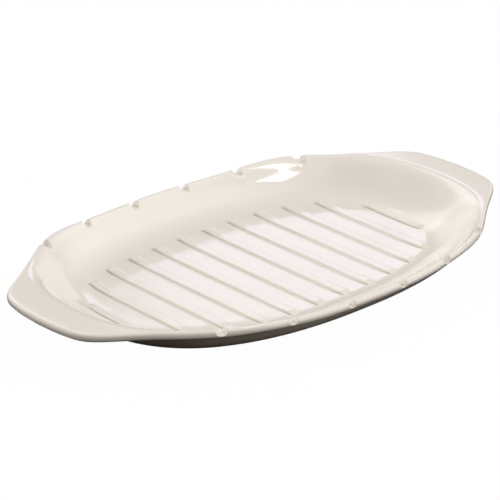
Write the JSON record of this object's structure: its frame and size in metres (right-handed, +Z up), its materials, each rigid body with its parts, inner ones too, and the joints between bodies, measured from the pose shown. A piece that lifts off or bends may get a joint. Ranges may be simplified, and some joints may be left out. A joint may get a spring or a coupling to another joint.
{
  "type": "skewer serving platter",
  "caption": "Oval glazed porcelain platter with a ribbed floor, notched long rims that hold skewers apart, tab handles and a bare foot ring.",
  "frame": {"origin": "middle of the foot ring's resting face, on the surface that the platter stands on", "axes": "+X along the length, from handle to handle; +Y across, from long rim to long rim; +Z up out of the basin"},
  "size_m": [0.331, 0.1944, 0.0285],
  "materials": {
    "glaze": "glossy cream white glaze",
    "bare_clay": "unglazed and finely matt"
  },
  "bodies": {
    "root": {"platter_body": "glaze", "foot_ring": "bare_clay"}
  },
  "joints": []
}
